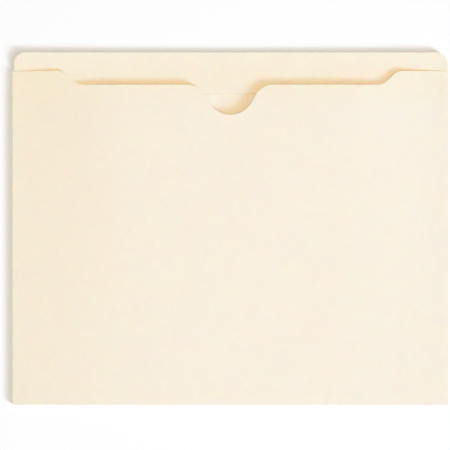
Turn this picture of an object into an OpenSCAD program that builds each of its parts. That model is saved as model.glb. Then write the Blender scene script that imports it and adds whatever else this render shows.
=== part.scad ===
// Letter-size flat file jacket of manila card, lying on its back with the tab towards +Y.
// One die-cut sheet folds up at the bottom edge. The front panel's side flaps wrap round the back panel and are
// glued behind it, and the top margin of the back panel is folded forward and glued down to stiffen the tab.

/* [Jacket] */
// Width across the two side folds
jacket_w = 298.45; // [250:0.05:320]
// Height from the bottom fold to the top of the tab
jacket_h = 241.3; // [240.5:0.1:260]
// Thickness of the card
card_t = 0.28; // [0.24:0.01:0.34]
// Thickness of a pressed glue line
glue_t = 0.03; // [0.02:0.01:0.05]

/* [Front panel] */
// Height of the two shoulders above the bottom fold
shoulder_h = 228.6; // [228:0.1:232]
// Height of the cut-down mouth above the bottom fold
mouth_h = 219.1; // [205:0.1:220]
// Distance from the centreline to the middle of each step
step_x = 109.7; // [95:0.1:112]
// Radius of both bends of a step
step_r = 9.5; // [6:0.5:10]
// Slope of a step's flank, in degrees
step_slope = 45; // [35:1:50]
// Height by which the relaxed card bows up at the middle of the mouth
mouth_bow = 1.25; // [0.5:0.05:3]

/* [Thumb notch] */
// Depth of the notch below the mouth
notch_depth = 20.6; // [18:0.1:30]
// Radius of the notch's round bottom
notch_r = 16; // [10:0.5:18]
// Radius of the notch's two lips
lip_r = 14; // [8:0.5:16]
// Slope of the notch's flanks, in degrees
notch_slope = 60; // [50:1:60]

/* [Tab] */
// Radius of the tab's top corners
tab_r = 8; // [4:0.5:8]
// Depth of the margin that is folded forward as the second ply
ply_depth = 28.6; // [24:0.1:40]
// Distance of the tab's left edge from the left side fold
tab_inset_left = 1.1; // [0.55:0.05:3]
// Distance of the tab's right edge from the right side fold
tab_inset_right = 0.55; // [0.55:0.05:3]
// Depth of the band along the tab's top edge that is pressed shut
tab_crease = 1; // [0.5:0.1:1.5]
// Distance that the tab's glue stays back from the ply's edges
tab_glue_margin = 2.5; // [2.4:0.1:4]

/* [Side seams] */
// Width of a glue flap from its fold to its free edge
flap_w = 19; // [16:0.5:30]
// Length by which a flap's free edge is shorter at each end
flap_taper = 8; // [3:0.5:15]
// Height of the flaps' lower ends above the bottom fold
flap_rise = 5.3; // [2:0.1:12]
// Width of the glue line on a flap
seam_glue_w = 12; // [6:0.5:14]
// Distance of the glue line from the side fold
seam_glue_inset = 3.5; // [1:0.1:4]

/* [Hidden] */
$fn = 96;

// Clear gaps: front panel over the tab's ply, front panel beside a side fold, and the slit left in the bottom
// fold for the front panel's end to turn into as the mouth opens
panel_gap = 0.02;
side_gap = 0.025;
fold_slit = 7;

// Layers from the surface that the jacket lies on: flap, seam glue, back panel, tab glue, ply, front panel
seam_glue_z = card_t;
back_z = seam_glue_z + glue_t;
tab_glue_z = back_z + card_t;
ply_z = tab_glue_z + glue_t;
front_z = ply_z + card_t + panel_gap;
front_top = front_z + card_t;

// A side fold goes from the front panel's outer face round to the flap's outer face
side_fold_r = front_top / 2;
side_fold_x = jacket_w / 2 - side_fold_r;
front_half_w = side_fold_x - side_gap;

// The bottom fold joins the back panel to the front panel
bottom_fold_r = (front_top - back_z) / 2;
bottom_fold_z = back_z + bottom_fold_r;
fold_y = -jacket_h / 2 + bottom_fold_r;

// The tab's fold is pressed shut, so its two plies are one band with a round top edge
tab_fold_r = card_t + glue_t / 2;
tab_fold_z = back_z + tab_fold_r;
tab_fold_y = jacket_h / 2 - tab_fold_r;
crease_y = tab_fold_y - tab_crease;
ply_y = jacket_h / 2 - ply_depth;
tab_left = -jacket_w / 2 + tab_inset_left;
tab_right = jacket_w / 2 - tab_inset_right;

// Levels of the front panel's top edge
shoulder_y = -jacket_h / 2 + shoulder_h;
mouth_y = -jacket_h / 2 + mouth_h;
notch_y = mouth_y - notch_depth;
flap_y = -jacket_h / 2 + flap_rise;

// Where the notch's lips and the steps' bends run out into the straight edges
lip_x = (notch_r + lip_r) * sin(notch_slope)
    + (notch_depth - (notch_r + lip_r) * (1 - cos(notch_slope))) / tan(notch_slope);
step_rise = shoulder_y - mouth_y;
step_run = 2 * step_r * sin(step_slope)
    + (step_rise - 2 * step_r * (1 - cos(step_slope))) / tan(step_slope);
step_foot_x = step_x - step_run / 2;
step_head_x = step_x + step_run / 2;

// Pieces of each bend, and of the straight edges between them, which follow the bow
arc_steps = 10;
mouth_steps = 10;
shoulder_steps = 6;

card_colour = "#f9eeda";
fold_colour = "#f4e6cc";
glue_colour = "#efe6d2";

// Points of an arc about c, with the angles in degrees
function arc(c, r, from, to) =
    [for (i = [0:arc_steps]) let (a = from + (to - from) * i / arc_steps) c + r * [cos(a), sin(a)]];

// Points inside a straight run from p to q
function run(p, q, steps) = [for (i = [1:steps - 1]) p + (q - p) * i / steps];

// Right half of the front panel's top edge, from the bottom of the notch to the side fold
edge_half = concat(
    arc([0, notch_y + notch_r], notch_r, -90, notch_slope - 90),
    arc([lip_x, mouth_y - lip_r], lip_r, 90 + notch_slope, 90),
    run([lip_x, mouth_y], [step_foot_x, mouth_y], mouth_steps),
    arc([step_foot_x, mouth_y + step_r], step_r, -90, step_slope - 90),
    arc([step_head_x, shoulder_y - step_r], step_r, 90 + step_slope, 90),
    run([step_head_x, shoulder_y], [front_half_w, shoulder_y], shoulder_steps),
    [[front_half_w, shoulder_y]]
);
edge = concat([for (i = [len(edge_half) - 1:-1:1]) [-edge_half[i].x, edge_half[i].y]], edge_half);

// Lift of the bowed front panel: none at the bottom and side folds, most at the middle of the mouth
function lift(p) = mouth_bow * (1 - pow(p.x / front_half_w, 2)) * (p.y - fold_y) / (mouth_y - fold_y);

// Four corners of the front panel's section along the straight line that runs down from an edge point
function section(p) = let (z = front_z + lift(p)) [
    [p.x, fold_y, front_z],
    [p.x, fold_y, front_top],
    [p.x, p.y, z],
    [p.x, p.y, z + card_t]
];

// Triangles of the strip between one section, whose corners start at a, and the next, which start at b
function strip(a, b) = [
    [a + 1, a + 3, b + 3], [a + 1, b + 3, b + 1],
    [a, b, b + 2], [a, b + 2, a + 2],
    [a, a + 1, b + 1], [a, b + 1, b],
    [a + 2, b + 2, b + 3], [a + 2, b + 3, a + 3]
];

// Outline of the back panel and tab
module tab_outline() {
    top = jacket_h / 2;
    translate([tab_left, fold_y])
        square([tab_right - tab_left, top - tab_r - fold_y]);
    translate([tab_left + tab_r, fold_y])
        square([tab_right - tab_left - 2 * tab_r, top - fold_y]);
    for (x = [tab_left + tab_r, tab_right - tab_r])
        translate([x, top - tab_r])
            circle(tab_r);
}

// Part of the tab's outline between two heights
module outline_band(from_y, to_y) {
    intersection() {
        tab_outline();
        translate([-jacket_w / 2, from_y])
            square([jacket_w, to_y - from_y]);
    }
}

// Half tube that opens towards +X, as the section of a fold, with a wedge left out of its upper end
module fold_section(r, slit = 0) {
    difference() {
        circle(r);
        circle(r - card_t);
        translate([0, -2 * r])
            square(4 * r);
        if (slit > 0)
            polygon([[0, 0], [0, 3 * r], [-3 * r * tan(slit), 3 * r]]);
    }
}

module back_panel() {
    color(card_colour)
        translate([0, 0, back_z])
            linear_extrude(card_t)
                outline_band(fold_y, crease_y);
}

module tab_fold() {
    color(fold_colour)
        intersection() {
            translate([0, tab_fold_y, tab_fold_z])
                rotate([0, 90, 0])
                    linear_extrude(jacket_w, center = true)
                        union() {
                            circle(tab_fold_r);
                            translate([-tab_fold_r, -tab_crease])
                                square([2 * tab_fold_r, tab_crease]);
                        }
            translate([0, 0, back_z - card_t])
                linear_extrude(4 * card_t)
                    tab_outline();
        }
}

module tab_reinforcement() {
    color(card_colour)
        translate([0, 0, ply_z])
            linear_extrude(card_t)
                outline_band(ply_y, crease_y);
}

module tab_glue() {
    color(glue_colour)
        translate([tab_left + tab_glue_margin, ply_y + tab_glue_margin, tab_glue_z])
            cube([
                tab_right - tab_left - 2 * tab_glue_margin,
                ply_depth - 2 * tab_glue_margin,
                glue_t
            ]);
}

module bottom_fold() {
    color(fold_colour)
        translate([0, fold_y, bottom_fold_z])
            rotate([90, 0, 90])
                linear_extrude(2 * front_half_w, center = true)
                    fold_section(bottom_fold_r, fold_slit);
}

module front_panel() {
    color(card_colour)
        polyhedron(
            points = [for (p = edge) each section(p)],
            faces = concat(
                [[0, 2, 3], [0, 3, 1]],
                [for (i = [1:len(edge) - 1]) each strip(4 * i - 4, 4 * i)],
                let (e = 4 * len(edge) - 4) [[e, e + 3, e + 2], [e, e + 1, e + 3]]
            )
        );
}

// Side fold on the left; the right one is its mirror image
module side_fold() {
    color(fold_colour)
        translate([-side_fold_x, shoulder_y, side_fold_r])
            rotate([90, 0, 0])
                linear_extrude(shoulder_y - flap_y)
                    fold_section(side_fold_r);
}

// Glue flap on the left, with tapered ends
module glue_flap() {
    color(card_colour)
        linear_extrude(card_t)
            polygon([
                [-side_fold_x, flap_y],
                [-side_fold_x + flap_w, flap_y + flap_taper],
                [-side_fold_x + flap_w, shoulder_y - flap_taper],
                [-side_fold_x, shoulder_y]
            ]);
}

// Glue line between the left flap and the back panel
module seam_glue() {
    color(glue_colour)
        translate([-side_fold_x + seam_glue_inset, flap_y + flap_taper, seam_glue_z])
            cube([seam_glue_w, shoulder_y - flap_y - 2 * flap_taper, glue_t]);
}

module left_side_fold() { side_fold(); }
module right_side_fold() { mirror([1, 0, 0]) side_fold(); }
module left_glue_flap() { glue_flap(); }
module right_glue_flap() { mirror([1, 0, 0]) glue_flap(); }
module left_seam_glue() { seam_glue(); }
module right_seam_glue() { mirror([1, 0, 0]) seam_glue(); }

back_panel();
tab_fold();
tab_reinforcement();
tab_glue();
bottom_fold();
front_panel();
left_side_fold();
right_side_fold();
left_glue_flap();
right_glue_flap();
left_seam_glue();
right_seam_glue();
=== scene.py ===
"""Dresses a packed file jacket: soft-edged card panels, creased folds, glue lines and a plain stage.

Lengths are in metres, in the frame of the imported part: +X to the right, +Y towards the tab, +Z up.
"""

import math

import bpy
import numpy as np
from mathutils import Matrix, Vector


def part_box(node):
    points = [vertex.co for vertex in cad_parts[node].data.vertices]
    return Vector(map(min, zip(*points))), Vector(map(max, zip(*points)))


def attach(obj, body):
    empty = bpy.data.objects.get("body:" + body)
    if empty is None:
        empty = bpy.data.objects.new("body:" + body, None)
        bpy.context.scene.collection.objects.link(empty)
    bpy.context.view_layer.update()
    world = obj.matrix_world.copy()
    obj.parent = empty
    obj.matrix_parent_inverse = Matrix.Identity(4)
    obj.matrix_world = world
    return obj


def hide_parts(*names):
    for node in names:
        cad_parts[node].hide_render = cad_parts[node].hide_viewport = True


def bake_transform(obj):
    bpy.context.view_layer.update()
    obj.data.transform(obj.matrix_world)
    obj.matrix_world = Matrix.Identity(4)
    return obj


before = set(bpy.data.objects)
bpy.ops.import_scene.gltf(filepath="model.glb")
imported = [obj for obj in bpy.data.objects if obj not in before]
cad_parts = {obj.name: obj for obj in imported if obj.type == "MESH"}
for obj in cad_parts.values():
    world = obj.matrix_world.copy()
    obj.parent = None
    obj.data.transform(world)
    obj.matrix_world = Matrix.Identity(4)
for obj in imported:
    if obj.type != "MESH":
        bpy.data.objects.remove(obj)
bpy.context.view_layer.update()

bl_info = {
    "name": "File Jacket",
    "version": (1, 0, 0),
    "blender": (4, 5, 0),
    "location": "3D View > Sidebar > File Jacket",
    "description": "Builds a file jacket's card panels, folds and glue lines, and a stage to show it on",
    "category": "Add Mesh",
}

MM = 0.001
QUARTER = math.pi / 2
WHITE = (1.0, 1.0, 1.0, 1.0)
BLACK = (0.0, 0.0, 0.0, 1.0)

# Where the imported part's pieces are
FRONT_LOW, FRONT_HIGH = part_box("front_panel")
BACK_LOW, BACK_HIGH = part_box("back_panel")
PLY_LOW, PLY_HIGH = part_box("tab_reinforcement")
TAB_FOLD_LOW, TAB_FOLD_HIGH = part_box("tab_fold")
BOTTOM_FOLD_LOW, BOTTOM_FOLD_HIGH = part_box("bottom_fold")
SIDE_FOLD_LOW, SIDE_FOLD_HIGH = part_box("right_side_fold")
FLAP_LOW, FLAP_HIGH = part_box("right_glue_flap")
CARD_THICKNESS = FLAP_HIGH.z - FLAP_LOW.z
SIDE_X = SIDE_FOLD_LOW.x
FOLD_Y = FRONT_LOW.y

# How finely meshes are cut: steps round an arc and round a fold, and a sheet's widest column and row
ARC_STEPS = 16
FOLD_STEPS = 18
COLUMN_STEP = 2.5 * MM
ROW_STEP = 6 * MM

# Sharpest turn between two faces that still shades as one smooth surface
SMOOTH_TURN = math.radians(35)

# How square a pressed fold is: 2 is round, more is flatter on top with a tighter turn
FOLD_SQUARENESS = 10.0

# Softness of an edge that butts against the next stretch of the same sheet, where no cut shows
BUTT_EDGE = 0.004 * MM

# Most that a cut leans in at a sheet's lower edge
UNDER_EDGE = 0.05 * MM

# Share of its width that a side fold still has at its bottom end
FOLD_END_WIDTH = 0.3

# Share of the front panel's height over which the bottom fold keeps the card from rippling
FOLD_HOLD = 0.25

# How late the tab's lift comes on the way to its top edge: 1 is evenly, more is later
LIFT_POWER = 1.5

# How far a pressed fold and the edges of a glue film waver
FOLD_WAVER = 0.02 * MM
GLUE_WAVER = 0.4 * MM

# Waves that add up to a waver: share of its size, length for each radian, and start in radians
WAVES = ((0.5, 23 * MM, 0.0), (0.3, 9.1 * MM, 1.3), (0.2, 4.7 * MM, 0.0))

# Distance along those waves between a glue film's two edges, so that they don't match
WAVE_SHIFT = 1.0

# Sizes of the materials' patterns along X, Y and Z
CLOUDS = (6 * MM, 6 * MM, 6 * MM)
DRIFT = (70 * MM, 70 * MM, 70 * MM)
GRAIN = (0.5 * MM, 0.5 * MM, 0.5 * MM)
FIBRES = (2.6 * MM, 0.11 * MM, 0.5 * MM)
FIBRE_PATCHES = (3 * MM, 3 * MM, 3 * MM)
FLECK_CELLS = (7 * MM, 7 * MM, 7 * MM)
EDGE_FLUFF = (0.35 * MM, 0.35 * MM, 0.06 * MM)
EDGE_LAYERS = (9 * MM, 9 * MM, 0.05 * MM)
STREAKS_ACROSS = (1.8 * MM, 0.2 * MM, 0.2 * MM)
STREAKS_UPRIGHT = (0.2 * MM, 1.8 * MM, 0.2 * MM)
ROLLER_STREAKS = (0.7 * MM, 14 * MM, 1 * MM)
GLUE_POOLS = (3 * MM, 3 * MM, 3 * MM)

# Ways that the fibres lie, in radians from +X
FIBRE_TURNS = (0.35, 1.9, 2.75)

# How far clouds, drift and grain swing the pulp's colour
CLOUD_TONE = 1.6
DRIFT_TONE = 0.7
GRAIN_TONE = 0.8

# How strongly fibres, flecks and cracks show in the fibres' colour
FIBRE_MARK = 0.16
FLECK_MARK = 0.35
CRACK_MARK = 0.12

# Share of the deeper colour that the card's face, its creases and its cut edges have before any pattern
FACE_DEPTH = 0.1
CREASE_DEPTH = 0.2
EDGE_DEPTH = 0.2

# Places across the card between which its left side is coloured deeper, as painted shade for key light that
# falls off towards the left
LEFT_SHADE_X = (-170 * MM, -10 * MM)

# Heights between which the card's top turns to the top shade colour, as painted shade for key light that
# falls off towards the tab, and how far its share stays under the painted shade's strength
TOP_SHADE_Y = (80 * MM, 100 * MM)
TOP_SHADE_LESS = 0.1

# How much smoother pressing leaves a crease, and the least roughness of a cut edge and of glue
CREASE_POLISH = 0.1
EDGE_ROUGHNESS = 0.86
GLUE_ROUGHNESS = 0.3

# How far red, green and blue light travel inside the card, with red as 1
SCATTER_REACH = (1.0, 0.55, 0.22)

# Shine of dry card
CARD_SHINE = 0.01

# Half the floor's side and the floor's roughness
FLOOR_HALF = 6.0
FLOOR_ROUGHNESS = 0.9

# Width of the camera's sensor in millimetres
SENSOR_WIDTH = 36.0


class CardFinish(bpy.types.PropertyGroup):
    """Colour and surface of the manila card"""

    colour: bpy.props.FloatVectorProperty(
        name="Card colour", description="Colour of the card's face",
        subtype="COLOR", size=3, min=0, max=1, default=(0.977, 0.869, 0.752))
    deep_colour: bpy.props.FloatVectorProperty(
        name="Deep colour", description="Colour where the pulp lies thicker",
        subtype="COLOR", size=3, min=0, max=1, default=(0.941, 0.836, 0.684))
    fibre_colour: bpy.props.FloatVectorProperty(
        name="Fibre colour", description="Colour of single fibres and flecks",
        subtype="COLOR", size=3, min=0, max=1, default=(0.73, 0.59, 0.40))
    # Partly a darker cut edge and partly painted shade: dark enough that the key light on the ply's lower
    # edge is cancelled, so that it shows as a shade line beside that step in shadow
    dark_edge_and_shade_colour: bpy.props.FloatVectorProperty(
        name="Trimmed edge", description="Colour of the edge that a worn blade has trimmed",
        subtype="COLOR", size=3, min=0, max=1, default=(0.62, 0.45, 0.26))
    # Painted shade: a deeper, yellower colour over the card's top and tab, standing in for key light that
    # falls off towards the tab
    top_shade_colour: bpy.props.FloatVectorProperty(
        name="Tab colour", description="Colour that handling has given the tab",
        subtype="COLOR", size=3, min=0, max=1, default=(0.982, 0.856, 0.689))
    glue_colour: bpy.props.FloatVectorProperty(
        name="Glue colour", description="Colour of the dried glue",
        subtype="COLOR", size=3, min=0, max=1, default=(0.86, 0.79, 0.64))
    mottle: bpy.props.FloatProperty(
        name="Mottle", description="Strength of the pulp's cloudy pattern",
        subtype="FACTOR", min=0, max=1, default=0.2)
    # Painted shade: strength of the deeper colour painted along the card's left side and over its top, where
    # less key light falls
    painted_shade: bpy.props.FloatProperty(
        name="Toning", description="How much deeper the card has turned along its left side and its tab",
        subtype="FACTOR", min=0, max=1, default=0.8)
    roughness: bpy.props.FloatProperty(
        name="Roughness", description="Roughness of the card's face",
        subtype="FACTOR", min=0, max=1, default=0.82)
    translucency: bpy.props.FloatProperty(
        name="Translucency", description="Share of the light that scatters inside the card",
        subtype="FACTOR", min=0, max=1, default=0.5)
    scatter: bpy.props.FloatProperty(
        name="Scatter distance", description="How far red light travels inside the card",
        subtype="DISTANCE", unit="LENGTH", min=0, default=0.04 * MM)
    tooth: bpy.props.FloatProperty(
        name="Tooth", description="Height of the card's surface grain",
        subtype="DISTANCE", unit="LENGTH", min=0, default=0.012 * MM)


class CardShape(bpy.types.PropertyGroup):
    """Sizes of the mouth, the tab and the card's small irregularities"""

    mouth_drop: bpy.props.FloatProperty(
        name="Mouth drop", description="Height of the shoulders above the cut-down mouth",
        unit="LENGTH", default=9.5 * MM)
    shoulder_fall: bpy.props.FloatProperty(
        name="Shoulder fall", description="Height by which the shoulders slope down towards the side folds",
        unit="LENGTH", default=0.3 * MM)
    step_x: bpy.props.FloatProperty(
        name="Step position", description="Distance of each step's middle from the centreline",
        unit="LENGTH", default=109.2 * MM)
    step_radius: bpy.props.FloatProperty(
        name="Step radius", description="Radius of both bends of a step",
        unit="LENGTH", default=9.5 * MM)
    step_slope: bpy.props.FloatProperty(
        name="Step slope", description="Slope of a step's flank",
        subtype="ANGLE", default=math.radians(45))
    notch_depth: bpy.props.FloatProperty(
        name="Notch depth", description="Depth of the thumb notch below the mouth",
        unit="LENGTH", default=20.6 * MM)
    notch_radius: bpy.props.FloatProperty(
        name="Notch radius", description="Radius of the notch's round bottom",
        unit="LENGTH", default=16 * MM)
    lip_radius: bpy.props.FloatProperty(
        name="Lip radius", description="Radius of the notch's two lips",
        unit="LENGTH", default=14 * MM)
    notch_slope: bpy.props.FloatProperty(
        name="Notch slope", description="Slope of the notch's flanks",
        subtype="ANGLE", default=math.radians(60))
    tab_radius: bpy.props.FloatProperty(
        name="Tab corner radius", description="Radius of the tab's top corners",
        unit="LENGTH", default=8 * MM)
    flap_taper: bpy.props.FloatProperty(
        name="Flap taper", description="Length by which a flap's free edge is shorter at each end",
        unit="LENGTH", default=8 * MM)
    bow: bpy.props.FloatProperty(
        name="Mouth bow", description="Height by which the relaxed card bows up at the middle of the mouth",
        unit="LENGTH", default=1.1 * MM)
    bow_lean: bpy.props.FloatProperty(
        name="Bow lean", description="Share by which the bow is higher at the right and lower at the left",
        subtype="FACTOR", min=0, max=1, default=0.1)
    bow_run: bpy.props.FloatProperty(
        name="Bow run", description="Distance from a side fold over which the front panel rises to its bow",
        unit="LENGTH", default=75 * MM)
    tilt: bpy.props.FloatProperty(
        name="Tilt", description="Height by which the slightly warped jacket stands up at its left side",
        unit="LENGTH", default=0.05 * MM)
    tab_lift: bpy.props.FloatProperty(
        name="Tab lift", description="Height by which the middle of the tab's top edge stands up",
        unit="LENGTH", default=0.22 * MM)
    tab_curl: bpy.props.FloatProperty(
        name="Tab curl", description="Further height by which the ends of the tab's top edge curl up",
        unit="LENGTH", default=0.24 * MM)
    ripple: bpy.props.FloatProperty(
        name="Ripple", description="Height of the card's slight unevenness",
        unit="LENGTH", default=0.05 * MM)
    corner_press: bpy.props.FloatProperty(
        name="Corner press", description="Height by which the shoulders' outer corners are pressed flatter",
        unit="LENGTH", default=0.17 * MM)
    corner_run: bpy.props.FloatProperty(
        name="Corner run", description="Distance from a shoulder's outer corner at which the pressing ends",
        unit="LENGTH", default=24 * MM)
    trim_slant: bpy.props.FloatProperty(
        name="Trim slant", description="How far the trimmed lower edge of the tab's second ply leans",
        unit="LENGTH", default=0.2 * MM)
    cut_edge: bpy.props.FloatProperty(
        name="Cut edge softness", description="Width of the rounding that the die leaves on a cut edge",
        unit="LENGTH", default=0.03 * MM)


class StageLook(bpy.types.PropertyGroup):
    """Floor, light and camera"""

    floor_colour: bpy.props.FloatVectorProperty(
        name="Floor colour", description="Colour of the floor",
        subtype="COLOR", size=3, min=0, max=1, default=(0.995, 0.96, 0.85))
    floor_glow: bpy.props.FloatVectorProperty(
        name="Floor glow", description="Light that whitens the floor for the camera alone",
        subtype="COLOR", size=3, min=0, max=1, default=(0.0, 0.035, 0.145))
    floor_reach: bpy.props.FloatProperty(
        name="Floor reach", description="Distance from the jacket at which the floor starts to fade to white",
        unit="LENGTH", default=0.3)
    fill_colour: bpy.props.FloatVectorProperty(
        name="Fill light", description="Light that the overhead softbox and the room give the jacket",
        subtype="COLOR", size=3, min=0, soft_max=2, default=(0.90, 0.72, 0.50))
    room_share: bpy.props.FloatProperty(
        name="Room share", description="Share of the fill light that comes from all round",
        subtype="FACTOR", min=0, max=1, default=0.2)
    overhead_height: bpy.props.FloatProperty(
        name="Overhead height", description="Height of the overhead softbox over the floor",
        unit="LENGTH", default=1.4)
    overhead_radius: bpy.props.FloatProperty(
        name="Overhead radius", description="Radius of the overhead softbox",
        unit="LENGTH", default=0.9)
    key_colour: bpy.props.FloatVectorProperty(
        name="Key light", description="Light that the key softboxes add on the jacket",
        subtype="COLOR", size=3, min=0, soft_max=2, default=(0.105, 0.285, 0.505))
    floor_shade: bpy.props.FloatVectorProperty(
        name="Floor shade", description="Light that the floor gets from the key softboxes, not from overhead",
        subtype="COLOR", size=3, min=0, max=1, default=(0.22, 0.11, 0.03))
    key_azimuth: bpy.props.FloatProperty(
        name="Key direction", description="Direction of the key softboxes from +X towards +Y",
        subtype="ANGLE", default=math.radians(-35))
    key_low: bpy.props.FloatProperty(
        name="Key elevation", description="Elevation of the lower key softbox over the floor",
        subtype="ANGLE", default=math.radians(10))
    key_high: bpy.props.FloatProperty(
        name="Upper key elevation", description="Elevation of the upper key softbox over the floor",
        subtype="ANGLE", default=math.radians(20))
    key_spread: bpy.props.FloatProperty(
        name="Key spread", description="Angle that each key softbox fills, seen from the jacket",
        subtype="ANGLE", default=math.radians(8))
    high_share: bpy.props.FloatProperty(
        name="Upper key share", description="Share of the key light that the upper softbox gives",
        subtype="FACTOR", min=0, max=1, default=0.3)
    key_distance: bpy.props.FloatProperty(
        name="Key distance", description="Distance of the key softboxes from the jacket",
        unit="LENGTH", default=12.0)
    view_width: bpy.props.FloatProperty(
        name="View width", description="Width of the picture at the jacket",
        unit="LENGTH", default=307.75 * MM)
    view_x: bpy.props.FloatProperty(
        name="View centre X", description="Place of the picture's centre across the jacket",
        unit="LENGTH", default=-3.83 * MM)
    view_y: bpy.props.FloatProperty(
        name="View centre Y", description="Place of the picture's centre along the jacket",
        unit="LENGTH", default=2.51 * MM)
    lens: bpy.props.FloatProperty(
        name="Lens", description="Focal length in millimetres",
        unit="CAMERA", default=100)


class Wire:
    """A socket of a node tree that Python arithmetic can use"""

    def __init__(self, tree, socket=None):
        self.tree = tree
        self.socket = socket

    def node(self, kind, settings=None, inputs=None, output=0):
        """Adds a node of this kind, sets its settings and then its sockets, and returns an output"""
        made = self.tree.nodes.new(kind)
        for name, value in (settings or {}).items():
            setattr(made, name, value)
        for key, value in (inputs or {}).items():
            if isinstance(value, Wire):
                self.tree.links.new(value.socket, made.inputs[key])
            else:
                made.inputs[key].default_value = value
        return Wire(self.tree, made.outputs[output] if made.outputs else None)

    def sibling(self, output):
        """Another output of the same node"""
        return Wire(self.tree, self.socket.node.outputs[output])

    def math(self, operation, first, second):
        """A Math node on two values"""
        return self.node("ShaderNodeMath", {"operation": operation}, {0: first, 1: second})

    def __add__(self, other):
        return self.math("ADD", self, other)

    __radd__ = __add__

    def __sub__(self, other):
        return self.math("SUBTRACT", self, other)

    def __rsub__(self, other):
        return self.math("SUBTRACT", other, self)

    def __mul__(self, other):
        return self.math("MULTIPLY", self, other)

    __rmul__ = __mul__

    def swing(self, amount):
        """This pattern from 0 to 1, made to swing by an amount about 0"""
        return (self - 0.5) * amount

    def mix(self, first, second):
        """Colour between first and second, with this value as the factor"""
        # Inputs 6 and 7 and output 2 are the ones that a Mix node has for colours
        return self.node("ShaderNodeMix", {"data_type": "RGBA"}, {0: self, 6: first, 7: second}, 2)

    def between(self, low, high):
        """0 below low, 1 above high and smooth in between"""
        return self.node("ShaderNodeMapRange", {"interpolation_type": "SMOOTHSTEP"},
                         {"Value": self, "From Min": low, "From Max": high, "To Min": 0.0, "To Max": 1.0})

    def stretched(self, size, turn=0.0):
        """These coordinates, turned about Z and divided by a size along each axis"""
        return self.node("ShaderNodeMapping", {"vector_type": "TEXTURE"},
                         {"Vector": self, "Rotation": (0, 0, turn), "Scale": size})

    def noise(self, size, detail=2.0, roughness=0.5, turn=0.0):
        """Cloudy noise from 0 to 1 at these coordinates, in lumps of a size along each axis"""
        at = self.stretched(size, turn)
        return self.node("ShaderNodeTexNoise", {"noise_dimensions": "3D"},
                         {"Vector": at, "Scale": 1.0, "Detail": detail, "Roughness": roughness})

    def bump(self, strength, distance):
        """Normals of a surface that this pattern raises by up to a distance"""
        return self.node("ShaderNodeBump", {}, {"Strength": strength, "Distance": distance, "Height": self})


def opaque(colour):
    """A colour with full alpha"""
    return (*colour, 1.0)


def seen_rays(wire):
    """1 for what the camera sees, straight, mirrored or through glass, and 0 for light on other things"""
    seen = wire.node("ShaderNodeLightPath", output="Is Camera Ray")
    return seen + seen.sibling("Is Glossy Ray") + seen.sibling("Is Transmission Ray")


def new_material(name):
    """A material with a Principled shader, and a wire of the object's coordinates to build its nodes from"""
    material = bpy.data.materials.new(name)
    material.use_nodes = True
    tree = material.node_tree
    tree.nodes.clear()
    shader = tree.nodes.new("ShaderNodeBsdfPrincipled")
    output = tree.nodes.new("ShaderNodeOutputMaterial")
    tree.links.new(shader.outputs[0], output.inputs["Surface"])
    return material, shader, Wire(tree).node("ShaderNodeTexCoord", output="Object")


def plug(shader, **wires):
    """Links wires to the shader's sockets, whose names are given with _ for a space"""
    for name, wire in wires.items():
        shader.id_data.links.new(wire.socket, shader.inputs[name.replace("_", " ")])


def pulp_clouds(at):
    """Cloudy pattern of the pulp"""
    return at.noise(CLOUDS, detail=3.0, roughness=0.55)


def paper_grain(at):
    """Fine grain of the card's face"""
    return at.noise(GRAIN, roughness=0.6)


def fibres(at, turn):
    """Mask of thin fibres that lie about one way, each a few millimetres long"""
    patches = at.noise(FIBRE_PATCHES, detail=1.0)
    lines = at.noise(FIBRES, detail=1.0, turn=turn)
    # Only the noise's highest ridges are fibres, and only in some patches of the card
    return lines.between(0.66, 0.74) * patches.between(0.42, 0.6)


def flecks(at):
    """Mask of sparse small specks of darker pulp"""
    cells = at.stretched(FLECK_CELLS)
    away = cells.node("ShaderNodeTexVoronoi", {"feature": "F1"}, {"Vector": cells, "Scale": 1.0}, "Distance")
    chance = cells.node("ShaderNodeSeparateColor", {}, {"Color": away.sibling("Color")}, "Red")
    # A fleck is the middle of a cell, and under half of the cells have one
    return (1 - away.between(0.012, 0.03)) * chance.between(0.55, 0.6)


def scattering(shader, finish):
    """Lets light through the card, redder the deeper it goes"""
    shader.inputs["Subsurface Weight"].default_value = finish.translucency
    shader.inputs["Subsurface Radius"].default_value = SCATTER_REACH
    shader.inputs["Subsurface Scale"].default_value = finish.scatter
    shader.inputs["Specular IOR Level"].default_value = CARD_SHINE


def card_material(name, finish):
    """Face of the manila card: cloudy pulp, fine grain, single fibres and specks"""
    material, shader, at = new_material(name)
    clouds = pulp_clouds(at)
    drift = at.noise(DRIFT, detail=1.0)
    grain = paper_grain(at)
    strands = sum(fibres(at, turn) for turn in FIBRE_TURNS)
    across = at.node("ShaderNodeSeparateXYZ", {}, {"Vector": at}, "X")
    up = across.sibling("Y")
    # Painted shade: the card is coloured deeper towards its left, standing in for key light that falls off
    # there
    painted_left_shade = 1 - across.between(*LEFT_SHADE_X)
    swing = clouds.swing(CLOUD_TONE) + drift.swing(DRIFT_TONE) + grain.swing(GRAIN_TONE)
    depth = swing * finish.mottle + painted_left_shade * finish.painted_shade + FACE_DEPTH
    pulp = depth.mix(opaque(finish.colour), opaque(finish.deep_colour))
    # Painted shade: the card's top is coloured deeper, for the key light that falls off towards the tab
    painted_top_shade = up.between(*TOP_SHADE_Y) * (finish.painted_shade - TOP_SHADE_LESS)
    tone = painted_top_shade.mix(pulp, opaque(finish.top_shade_colour))
    marks = strands * FIBRE_MARK + flecks(at) * FLECK_MARK
    height = grain * 0.6 + clouds * 0.5 + strands * 0.35
    plug(shader, Base_Color=marks.mix(tone, opaque(finish.fibre_colour)),
         Roughness=grain.swing(0.12) + finish.roughness,
         Normal=height.bump(strength=0.6, distance=finish.tooth))
    scattering(shader, finish)
    return material


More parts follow.
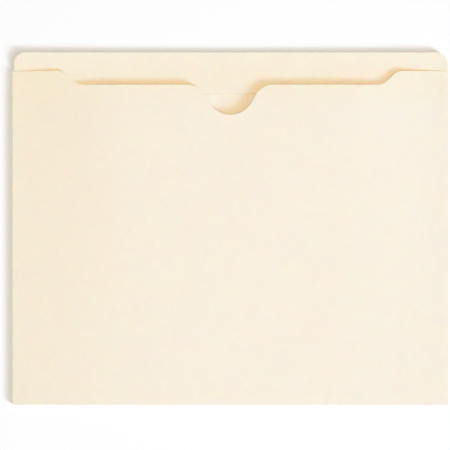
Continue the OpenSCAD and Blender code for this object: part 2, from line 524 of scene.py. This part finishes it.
def cut_edge_material(name, finish, colour):
    """Cut edge of the card in a colour: layers of pulp with loose fibres"""
    material, shader, at = new_material(name)
    fluff = at.noise(EDGE_FLUFF, detail=3.0, roughness=0.65)
    layers = at.noise(EDGE_LAYERS)
    depth = fluff.swing(0.7) + layers.swing(0.5) + EDGE_DEPTH
    plug(shader, Base_Color=depth.mix(opaque(colour), opaque(finish.fibre_colour)),
         Roughness=fluff * 0.1 + EDGE_ROUGHNESS,
         Normal=fluff.bump(strength=0.7, distance=2 * finish.tooth))
    scattering(shader, finish)
    return material


def crease_material(name, finish, size):
    """Card along a crease: pulp pressed smooth, with streaks and short cracks of a size"""
    material, shader, at = new_material(name)
    streaks = at.noise(size, roughness=0.6)
    clouds = pulp_clouds(at)
    grain = paper_grain(at)
    swing = clouds.swing(CLOUD_TONE) + grain.swing(GRAIN_TONE)
    depth = swing * finish.mottle + CREASE_DEPTH
    pulp = depth.mix(opaque(finish.colour), opaque(finish.deep_colour))
    cracks = streaks.between(0.6, 0.72) * CRACK_MARK
    height = streaks * 0.7 + grain * 0.4
    plug(shader, Base_Color=cracks.mix(pulp, opaque(finish.fibre_colour)),
         Roughness=streaks.swing(0.15) + (finish.roughness - CREASE_POLISH),
         Normal=height.bump(strength=0.6, distance=finish.tooth))
    scattering(shader, finish)
    return material


def glue_material(name, finish):
    """Dried glue film: smooth, a little glossy, with the roller's streaks"""
    material, shader, at = new_material(name)
    streaks = at.noise(ROLLER_STREAKS)
    pools = at.noise(GLUE_POOLS)
    depth = streaks * 0.4 + pools * 0.3
    plug(shader, Base_Color=depth.mix(opaque(finish.glue_colour), opaque(finish.deep_colour)),
         Roughness=pools * 0.2 + GLUE_ROUGHNESS,
         Normal=pools.bump(strength=0.4, distance=finish.tooth))
    return material


def finishes(context, *names):
    """The materials of these names, in order; all of the jacket's are made at the first call"""
    finish = context.scene.jacket_finish
    makers = {
        "card_face": (card_material,),
        "card_cut_edge": (cut_edge_material, finish.deep_colour),
        # The ply's darker cut edge, partly painted shade along its lower step
        "card_trimmed_edge": (cut_edge_material, finish.dark_edge_and_shade_colour),
        "card_crease_across": (crease_material, STREAKS_ACROSS),
        "card_crease_upright": (crease_material, STREAKS_UPRIGHT),
        "dried_glue": (glue_material,),
    }
    for name, (make, *values) in makers.items():
        if name not in bpy.data.materials:
            make(name, finish, *values)
    return [bpy.data.materials[name] for name in names]


def arc(centre, radius, start, end):
    """Points of an arc, with its angles in radians"""
    angles = np.linspace(start, end, ARC_STEPS + 1)
    return [(centre[0] + radius * math.cos(a), centre[1] + radius * math.sin(a)) for a in angles]


def filled(outline):
    """An outline from left to right with points added, so that no two are further apart than a column"""
    points = [outline[0]]
    for (x0, y0), (x1, y1) in zip(outline, outline[1:]):
        count = max(1, math.ceil((x1 - x0) / COLUMN_STEP))
        points += [(x0 + (x1 - x0) * k / count, y0 + (y1 - y0) * k / count) for k in range(1, count + 1)]
    return points


def mouth_edge(shape):
    """Right half of the front panel's top edge, from the bottom of the notch to the side fold"""
    shoulder = FRONT_HIGH.y
    mouth = shoulder - shape.mouth_drop
    bends = shape.notch_radius + shape.lip_radius
    straight = shape.notch_depth - bends * (1 - math.cos(shape.notch_slope))
    lip_x = bends * math.sin(shape.notch_slope) + straight / math.tan(shape.notch_slope)
    flank = shape.mouth_drop - 2 * shape.step_radius * (1 - math.cos(shape.step_slope))
    run = 2 * shape.step_radius * math.sin(shape.step_slope) + flank / math.tan(shape.step_slope)
    foot = (shape.step_x - run / 2, mouth + shape.step_radius)
    head = (shape.step_x + run / 2, shoulder - shape.step_radius)
    lip = (lip_x, mouth - shape.lip_radius)
    notch = (0, mouth - shape.notch_depth + shape.notch_radius)
    return filled(
        arc(notch, shape.notch_radius, -QUARTER, shape.notch_slope - QUARTER)
        + arc(lip, shape.lip_radius, QUARTER + shape.notch_slope, QUARTER)
        + arc(foot, shape.step_radius, -QUARTER, shape.step_slope - QUARTER)
        + arc(head, shape.step_radius, QUARTER + shape.step_slope, QUARTER)
        + [(SIDE_X, shoulder - shape.shoulder_fall)]
    )


def tab_edge(shape):
    """Top edge of the tab from its left side to its right side, before it is folded"""
    radius = shape.tab_radius
    middle = TAB_FOLD_HIGH.y - radius
    return filled(
        arc((BACK_LOW.x + radius, middle), radius, 2 * QUARTER, QUARTER)
        + arc((BACK_HIGH.x - radius, middle), radius, QUARTER, 0)
    )


def even(level):
    """A height that is the same all over a sheet"""
    return lambda x, y: np.full(len(x), level)


def smooth(value, start, end):
    """0 at start, 1 at end and smooth in between"""
    share = np.clip((value - start) / (end - start), 0, 1)
    return share ** 2 * (3 - 2 * share)


def wavering(s, size):
    """A small irregular wave of about that size, the same at each run"""
    return size * sum(share * math.sin(s / length + start) for share, length, start in WAVES)


def rippling(x, y):
    """Slow irregular waves over the relaxed card, mostly from 0 to 1 and the same at each run"""
    broad = np.sin(x / (21 * MM) + 0.7) * np.sin(y / (34 * MM) + 1.1)
    slanting = 0.6 * np.sin(x / (13 * MM) - y / (27 * MM))
    return (broad + slanting + 1) / 2


def curl(x, y, shape):
    """Height by which the tab, free above the shoulders, rises towards its top edge, most at its ends"""
    up = np.clip((y - FRONT_HIGH.y) / (TAB_FOLD_HIGH.y - FRONT_HIGH.y), 0, 1)
    return up ** LIFT_POWER * (shape.tab_lift + shape.tab_curl * (x / SIDE_X) ** 2)


def pressed(y, shape):
    """Height that the card has lost, in the middle of a side fold, from pressing the fold's top end flat"""
    return shape.corner_press * smooth(y, FRONT_HIGH.y - shape.corner_run, FRONT_HIGH.y)


def new_piece(name, points, faces, marks, materials):
    """A mesh object with outward faces, flat across its sharp edges; marks give each face's material"""
    tilt = bpy.context.scene.jacket_shape.tilt
    tilted = [(x, y, z + tilt * (SIDE_X - x) / (2 * SIDE_X)) for x, y, z in points]
    mesh = bpy.data.meshes.new(name)
    mesh.from_pydata(tilted, [], faces)
    for material in materials:
        mesh.materials.append(material)
    mesh.polygons.foreach_set("material_index", marks)
    mesh.shade_smooth()
    mesh.set_sharp_from_angle(angle=SMOOTH_TURN)
    if mesh.validate():
        raise RuntimeError(f"{name} has faces that can't be built")
    piece = bpy.data.objects.new(name, mesh)
    bpy.context.scene.collection.objects.link(piece)
    return piece


def perimeter(columns, rows):
    """Grid places round a sheet's edge, anticlockwise from its lower left, and the side that each is on"""
    last, top = columns - 1, rows - 1
    return (
        [(i, 0, "low") for i in range(last)] + [(last, j, "right") for j in range(top)]
        + [(i, top, "high") for i in range(last, 0, -1)] + [(0, j, "left") for j in range(top, 0, -1)]
    )


def card_sheet(name, columns, underside, thickness, soft, materials):
    """A sheet of card, with one material for its two faces and one for its cut edges

    Each column is x, lowest y and highest y. Underside and thickness are heights at x and y. Soft is how far
    the cut leans in at each side's upper edge.
    """
    x, low, high = (np.array(values) for values in zip(*columns))
    rows = max(2, math.ceil((high - low).max() / ROW_STEP)) + 1
    share = np.linspace(0, 1, rows)
    flat = np.stack([np.repeat(x[:, None], rows, 1), low[:, None] + (high - low)[:, None] * share], -1)
    ring = perimeter(len(columns), rows)
    edge = np.array([flat[i, j] for i, j, _ in ring])
    tangent = np.roll(edge, -1, 0) - np.roll(edge, 1, 0)
    outward = np.stack([tangent[:, 1], -tangent[:, 0]], -1) / np.linalg.norm(tangent, axis=1)[:, None]
    sides = [side for _, _, side in ring]
    sides_before = sides[-1:] + sides[:-1]
    softness = np.array([min(soft[side], soft[before]) for side, before in zip(sides, sides_before)])
    lower_softness = np.minimum(softness, UNDER_EDGE)

    def drawn_in(width):
        """The sheet's places, with those round its edge drawn in by a width"""
        grid = flat.copy()
        for (i, j, _), point in zip(ring, edge - outward * width[:, None]):
            grid[i, j] = point
        return grid.reshape(-1, 2)

    def height(at, level):
        """The underside's or the thickness's height at places"""
        return level(at[:, 0], at[:, 1])

    top, bottom = drawn_in(softness), drawn_in(lower_softness)
    points = np.concatenate([
        np.column_stack([top, height(top, underside) + height(top, thickness)]),
        np.column_stack([bottom, height(bottom, underside)]),
        np.column_stack([edge, height(edge, underside) + height(edge, thickness) - softness]),
        np.column_stack([edge, height(edge, underside) + lower_softness]),
    ])
    sheet, loop = len(top), len(ring)
    upper, lower = 2 * sheet, 2 * sheet + loop
    faces, marks = [], []
    for i in range(len(columns) - 1):
        for j in range(rows - 1):
            a, b = i * rows + j, (i + 1) * rows + j
            faces += [(a, b, b + 1, a + 1), (sheet + a, sheet + a + 1, sheet + b + 1, sheet + b)]
            marks += [0, 0]
    rim = [i * rows + j for i, j, _ in ring]
    for k in range(loop):
        n = (k + 1) % loop
        faces += [
            (rim[k], upper + k, upper + n, rim[n]),
            (upper + k, lower + k, lower + n, upper + n),
            (lower + k, sheet + rim[k], sheet + rim[n], lower + n),
        ]
        marks += [1, 1, 1]
    return new_piece(name, points, faces, marks, materials)


def swept(name, stations, section, materials):
    """A bar whose closed section, given at each station as points in order, is capped at both ends"""
    rings = [section(s) for s in stations]
    count = len(rings[0])
    points = [p for ring in rings for p in ring]
    faces, marks = [], []
    for k in range(len(rings) - 1):
        for i in range(count):
            n = (i + 1) % count
            a, b = k * count, (k + 1) * count
            faces.append((a + i, a + n, b + n, b + i))
            marks.append(0)
    for start, flip in ((0, False), ((len(rings) - 1) * count, True)):
        for i in range((count - 1) // 2):
            # The last face of an odd section is a triangle, whose repeated corner is dropped
            corners = (start + i, start + count - 1 - i, start + count - 2 - i, start + i + 1)
            face = list(dict.fromkeys(corners))
            faces.append(face[::-1] if flip else face)
            marks.append(1)
    return new_piece(name, points, faces, marks, materials)


def pressed_bend(radius):
    """Points (out, up) of a bend that has been pressed square, from its top to its bottom"""
    power = 2 / FOLD_SQUARENESS
    angles = np.linspace(QUARTER, -QUARTER, FOLD_STEPS + 1)
    return [
        (radius * abs(math.cos(a)) ** power, math.copysign(radius * abs(math.sin(a)) ** power, a))
        for a in angles
    ]


def half_tube(radius, thickness, wobble):
    """Section of a pressed fold as (out, up) points, down its outer face and back up its inner face"""
    outer = [(out * (1 + wobble / radius), up) for out, up in pressed_bend(radius)]
    return outer + pressed_bend(radius - thickness)[::-1]


def finish_piece(piece, body, node):
    """Fixes a piece to its body and shows it in place of its CAD node"""
    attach(piece, body)
    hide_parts(node)


class JACKET_OT_front_panel(bpy.types.Operator):
    """Builds the front panel as two halves"""

    bl_idname = "jacket.front_panel"
    bl_label = "Front Panel"

    def execute(self, context):
        shape = context.scene.jacket_shape
        card = finishes(context, "card_face", "card_cut_edge")
        mouth = FRONT_HIGH.y - shape.mouth_drop
        right = [(x, FOLD_Y, y) for x, y in mouth_edge(shape)]
        left = [(-x, low, high) for x, low, high in reversed(right)]
        soft = {"low": BUTT_EDGE, "left": BUTT_EDGE, "right": BUTT_EDGE, "high": shape.cut_edge}

        def underside(x, y):
            rise = smooth(np.abs(x), SIDE_X, SIDE_X - shape.bow_run)
            up = (y - FOLD_Y) / (mouth - FOLD_Y)
            bow = shape.bow * (1 + shape.bow_lean * x / SIDE_X)
            ripple = shape.ripple * np.clip(up / FOLD_HOLD, 0, 1)
            return FRONT_LOW.z + rise * (bow * up + ripple * rippling(x, y))

        def thickness(x, y):
            return CARD_THICKNESS - pressed(y, shape) * smooth(np.abs(x), SIDE_X - shape.corner_run, SIDE_X)

        halves = (("front_panel_left", left, -SIDE_X), ("front_panel_right", right, SIDE_X))
        for name, columns, side in halves:
            piece = card_sheet(name, columns, underside, thickness, soft, card)
            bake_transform(piece)
            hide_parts("front_panel")
        return {"FINISHED"}


class JACKET_OT_back_panel(bpy.types.Operator):
    """Builds the back panel, from the bottom fold to the crease along the tab"""

    bl_idname = "jacket.back_panel"
    bl_label = "Back Panel"

    def execute(self, context):
        shape = context.scene.jacket_shape
        card = finishes(context, "card_face", "card_cut_edge")
        columns = [(x, BACK_LOW.y, min(y, BACK_HIGH.y)) for x, y in tab_edge(shape)]
        soft = {"low": BUTT_EDGE, "left": shape.cut_edge, "right": shape.cut_edge, "high": BUTT_EDGE}

        def underside(x, y):
            return BACK_LOW.z + curl(x, y, shape)

        piece = card_sheet("back_panel_card", columns, underside, even(CARD_THICKNESS), soft, card)
        finish_piece(piece, "back", "back_panel")
        return {"FINISHED"}


class JACKET_OT_tab(bpy.types.Operator):
    """Builds the tab's second ply and the pressed fold along its top"""

    bl_idname = "jacket.tab"
    bl_label = "Tab"

    def execute(self, context):
        shape = context.scene.jacket_shape
        edge = tab_edge(shape)
        self.make_ply(context, shape, edge)
        self.make_fold(context, shape, edge)
        return {"FINISHED"}

    def make_ply(self, context, shape, edge):
        """Lays the second ply on the back panel, with its trimmed lower edge leaning"""
        # The ply's cut edges are darker, partly as painted shade along its lower step
        card = finishes(context, "card_face", "card_trimmed_edge")
        columns = [(x, PLY_LOW.y, min(y, PLY_HIGH.y)) for x, y in edge]
        soft = {"low": shape.trim_slant, "left": shape.cut_edge, "right": shape.cut_edge, "high": BUTT_EDGE}

        def underside(x, y):
            return PLY_LOW.z + curl(x, y, shape)

        ply = card_sheet("tab_reinforcement_card", columns, underside, even(CARD_THICKNESS), soft, card)
        finish_piece(ply, "back", "tab_reinforcement")

    def make_fold(self, context, shape, edge):
        """Folds the sheet over along the top, as deep at each place as the tab's round corners leave it"""
        crease = finishes(context, "card_crease_across", "card_cut_edge")
        radius = (TAB_FOLD_HIGH.z - TAB_FOLD_LOW.z) / 2
        nose_y, middle_z = TAB_FOLD_HIGH.y - radius, (TAB_FOLD_HIGH.z + TAB_FOLD_LOW.z) / 2
        nose = [(nose_y + out, middle_z + up) for out, up in pressed_bend(radius)]
        profile = [(TAB_FOLD_LOW.y, TAB_FOLD_HIGH.z), *nose, (TAB_FOLD_LOW.y, TAB_FOLD_LOW.z)]
        stations = [(x, y) for x, y in edge if y > TAB_FOLD_LOW.y]

        def section(station):
            x, top = station
            depth = (top - TAB_FOLD_LOW.y) / (TAB_FOLD_HIGH.y - TAB_FOLD_LOW.y)
            reached = [(TAB_FOLD_LOW.y + (y - TAB_FOLD_LOW.y) * depth, z) for y, z in profile]
            return [(x, y, z + curl(x, y, shape)) for y, z in reached]

        fold = swept("tab_fold_crease", stations, section, crease)
        finish_piece(fold, "back", "tab_fold")


class JACKET_OT_bottom_fold(bpy.types.Operator):
    """Builds the fold that joins the front and back panels along the bottom"""

    bl_idname = "jacket.bottom_fold"
    bl_label = "Bottom Fold"

    def execute(self, context):
        crease = finishes(context, "card_crease_across", "card_cut_edge")
        radius = (BOTTOM_FOLD_HIGH.z - BOTTOM_FOLD_LOW.z) / 2
        middle_z = (BOTTOM_FOLD_HIGH.z + BOTTOM_FOLD_LOW.z) / 2
        count = round((BOTTOM_FOLD_HIGH.x - BOTTOM_FOLD_LOW.x) / COLUMN_STEP)
        stations = np.linspace(BOTTOM_FOLD_LOW.x, BOTTOM_FOLD_HIGH.x, count + 1)

        def section(x):
            tube = half_tube(radius, CARD_THICKNESS, wavering(x, FOLD_WAVER))
            return [(x, FOLD_Y - out, middle_z + up) for out, up in tube]

        fold = swept("bottom_fold_crease", stations, section, crease)
        finish_piece(fold, "back", "bottom_fold")
        return {"FINISHED"}


class JACKET_OT_side_folds(bpy.types.Operator):
    """Builds the two side folds, which turn the front panel round to its glue flaps"""

    bl_idname = "jacket.side_folds"
    bl_label = "Side Folds"

    def execute(self, context):
        shape = context.scene.jacket_shape
        crease = finishes(context, "card_crease_upright", "card_cut_edge")
        radius = (SIDE_FOLD_HIGH.z - SIDE_FOLD_LOW.z) / 2
        end = SIDE_FOLD_HIGH.y - shape.shoulder_fall
        count = round((end - FOLD_Y) / COLUMN_STEP)
        stations = np.linspace(FOLD_Y, end, count + 1)
        for node, way in (("left_side_fold", -1), ("right_side_fold", 1)):

            def section(y, way=way):
                tube = half_tube(radius, CARD_THICKNESS, wavering(y * way, FOLD_WAVER))
                width = FOLD_END_WIDTH + (1 - FOLD_END_WIDTH) * smooth(y, FOLD_Y, SIDE_FOLD_LOW.y)
                squeeze = 1 - pressed(y, shape) / radius
                ring = [(way * (SIDE_X + width * out), y, radius + min(up, up * squeeze)) for out, up in tube]
                return ring[::way]

            fold = swept(f"{node}_crease", stations, section, crease)
            finish_piece(fold, "back", node)
        return {"FINISHED"}


class JACKET_OT_glue_flaps(bpy.types.Operator):
    """Builds the two flaps that are glued behind the back panel"""

    bl_idname = "jacket.glue_flaps"
    bl_label = "Glue Flaps"

    def execute(self, context):
        shape = context.scene.jacket_shape
        card = finishes(context, "card_face", "card_cut_edge")
        taper = filled([(0.0, 0.0), (FLAP_HIGH.x - FLAP_LOW.x, shape.flap_taper)])
        low, high = FLAP_LOW.y, FLAP_HIGH.y
        for node, way, free, folded in (
            ("left_glue_flap", -1, "right", "left"),
            ("right_glue_flap", 1, "left", "right"),
        ):
            columns = [(way * (SIDE_X - away), low + cut, high - cut) for away, cut in taper]
            soft = {"low": shape.cut_edge, "high": shape.cut_edge, free: shape.cut_edge, folded: BUTT_EDGE}
            flap = card_sheet(f"{node}_card", columns[::-way], even(FLAP_LOW.z), even(CARD_THICKNESS),
                              soft, card)
            finish_piece(flap, "back", node)
        return {"FINISHED"}


class JACKET_OT_glue_lines(bpy.types.Operator):
    """Builds the three glue films, with the uneven edges that pressing gives them"""

    bl_idname = "jacket.glue_lines"
    bl_label = "Glue Lines"

    def execute(self, context):
        glue = finishes(context, "dried_glue", "dried_glue")
        soft = dict.fromkeys(("low", "high", "left", "right"), BUTT_EDGE)
        for node in ("tab_glue", "left_seam_glue", "right_seam_glue"):
            low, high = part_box(node)
            bottom, top = low.y + GLUE_WAVER, high.y - GLUE_WAVER
            columns = [(x, bottom + wavering(x, GLUE_WAVER), top - wavering(x + WAVE_SHIFT, GLUE_WAVER))
                       for x, _ in filled([(low.x, 0.0), (high.x, 0.0)])]
            film = card_sheet(f"{node}_film", columns, even(low.z), even(high.z - low.z), soft, glue)
            finish_piece(film, "back", node)
        return {"FINISHED"}


class JACKET_OT_stage(bpy.types.Operator):
    """Builds the floor, the light and the camera"""

    bl_idname = "jacket.stage"
    bl_label = "Stage"

    def execute(self, context):
        look = context.scene.jacket_stage
        floor = self.make_floor(context, look)
        self.make_light(context, look, floor)
        self.make_room(context, look)
        self.make_camera(context, look)
        context.scene.view_settings.view_transform = "Standard"
        return {"FINISHED"}

    def make_floor(self, context, look):
        """Lays a pale floor, which fades to plain white away from the jacket and its shadow"""
        near, far = -FLOOR_HALF, FLOOR_HALF
        mesh = bpy.data.meshes.new("floor")
        mesh.from_pydata([(near, near, 0), (far, near, 0), (far, far, 0), (near, far, 0)], [], [(0, 1, 2, 3)])
        material, shader, at = new_material("pale_floor")
        seen = seen_rays(at)
        away = at.node("ShaderNodeVectorMath", {"operation": "LENGTH"}, {0: at}, "Value")
        faded = away.between(look.floor_reach, 2 * look.floor_reach)
        glow = faded.mix(opaque(look.floor_glow), WHITE)
        plug(shader, Base_Color=(seen * faded).mix(opaque(look.floor_colour), BLACK),
             Emission_Color=seen.mix(BLACK, glow))
        shader.inputs["Emission Strength"].default_value = 1.0
        shader.inputs["Roughness"].default_value = FLOOR_ROUGHNESS
        shader.inputs["Specular IOR Level"].default_value = 0.0
        mesh.materials.append(material)
        floor = bpy.data.objects.new("floor", mesh)
        context.scene.collection.objects.link(floor)
        return floor

    def make_softbox(self, context, name, colour, radius, place, slant, lit):
        """Hangs a round softbox that faces the jacket and gives level things in a group a colour of light"""
        lamp = bpy.data.lights.new(name, "AREA")
        lamp.shape = "DISK"
        lamp.size = 2 * radius
        level = max(colour)
        lamp.color = [c / level for c in colour]
        # The power at which a disk this far away gives a white surface that much light
        lamp.energy = level * math.pi ** 2 * (radius ** 2 + place.length ** 2) / slant
        softbox = bpy.data.objects.new(name, lamp)
        softbox.location = place
        softbox.rotation_euler = place.to_track_quat("Z", "Y").to_euler()
        softbox.light_linking.receiver_collection = lit
        context.scene.collection.objects.link(softbox)

    def make_light(self, context, look, floor):
        """Hangs softboxes for the jacket, and others in the same places for the floor"""
        pieces = [piece for piece in context.scene.objects if piece.type == "MESH" and piece != floor]
        above = Vector((0, 0, look.overhead_height))
        key_radius = look.key_distance * math.tan(look.key_spread / 2)
        for name, lit, shade in (("jacket", pieces, (0, 0, 0)), ("floor", [floor], look.floor_shade)):
            group = bpy.data.collections.new(f"{name}_lit")
            for piece in lit:
                group.objects.link(piece)
            overhead = [fill * (1 - look.room_share) - less for fill, less in zip(look.fill_colour, shade)]
            key = [light + more for light, more in zip(look.key_colour, shade)]
            self.make_softbox(context, f"{name}_overhead_softbox", overhead, look.overhead_radius,
                              above, 1, group)
            for level, elevation, share in (("low", look.key_low, 1 - look.high_share),
                                            ("high", look.key_high, look.high_share)):
                reach, rise = math.cos(elevation), math.sin(elevation)
                aim = Vector((reach * math.cos(look.key_azimuth), reach * math.sin(look.key_azimuth), rise))
                colour = [c * share for c in key]
                self.make_softbox(context, f"{name}_{level}_key_softbox", colour, key_radius,
                                  aim * look.key_distance, rise, group)

    def make_room(self, context, look):
        """Lights the room, which the camera sees as white"""
        world = bpy.data.worlds.new("studio")
        world.use_nodes = True
        world.node_tree.nodes.clear()
        wire = Wire(world.node_tree)
        room = [c * look.room_share for c in look.fill_colour]
        colour = seen_rays(wire).mix(opaque(room), WHITE)
        light = wire.node("ShaderNodeBackground", {}, {"Color": colour, "Strength": 1.0})
        wire.node("ShaderNodeOutputWorld", {}, {"Surface": light})
        context.scene.world = world

    def make_camera(self, context, look):
        """Hangs the camera straight over the jacket, at the height that gives the picture its width"""
        lens = bpy.data.cameras.new("camera")
        lens.lens = look.lens
        lens.sensor_width = SENSOR_WIDTH
        height = look.view_width * lens.lens / lens.sensor_width + SIDE_FOLD_HIGH.z
        camera = bpy.data.objects.new("camera", lens)
        camera.location = (look.view_x, look.view_y, height)
        context.scene.collection.objects.link(camera)
        context.scene.camera = camera


GROUPS = {"jacket_shape": CardShape, "jacket_finish": CardFinish, "jacket_stage": StageLook}

BUILDERS = (
    JACKET_OT_front_panel,
    JACKET_OT_back_panel,
    JACKET_OT_tab,
    JACKET_OT_bottom_fold,
    JACKET_OT_side_folds,
    JACKET_OT_glue_flaps,
    JACKET_OT_glue_lines,
    JACKET_OT_stage,
)


class JACKET_PT_sidebar(bpy.types.Panel):
    """Lists the jacket's sizes, colours and build steps"""

    bl_idname = "JACKET_PT_sidebar"
    bl_label = "File Jacket"
    bl_space_type = "VIEW_3D"
    bl_region_type = "UI"
    bl_category = "File Jacket"

    def draw(self, context):
        for settings, group in GROUPS.items():
            box = self.layout.box()
            for name in group.__annotations__:
                box.prop(getattr(context.scene, settings), name)
        for builder in BUILDERS:
            self.layout.operator(builder.bl_idname)


CLASSES = (*GROUPS.values(), *BUILDERS, JACKET_PT_sidebar)


def register():
    """Adds the classes to Blender, and the settings to its scenes"""
    for cls in CLASSES:
        bpy.utils.register_class(cls)
    for name, group in GROUPS.items():
        setattr(bpy.types.Scene, name, bpy.props.PointerProperty(type=group))


def unregister():
    """Takes the settings and the classes out again"""
    for name in GROUPS:
        delattr(bpy.types.Scene, name)
    for cls in reversed(CLASSES):
        bpy.utils.unregister_class(cls)


def main():
    """Builds the jacket and its stage"""
    register()
    bpy.ops.jacket.front_panel()
    bpy.ops.jacket.back_panel()
    bpy.ops.jacket.tab()
    bpy.ops.jacket.bottom_fold()
    bpy.ops.jacket.side_folds()
    bpy.ops.jacket.glue_flaps()
    bpy.ops.jacket.glue_lines()
    bpy.ops.jacket.stage()


if __name__ == "__main__":
    main()
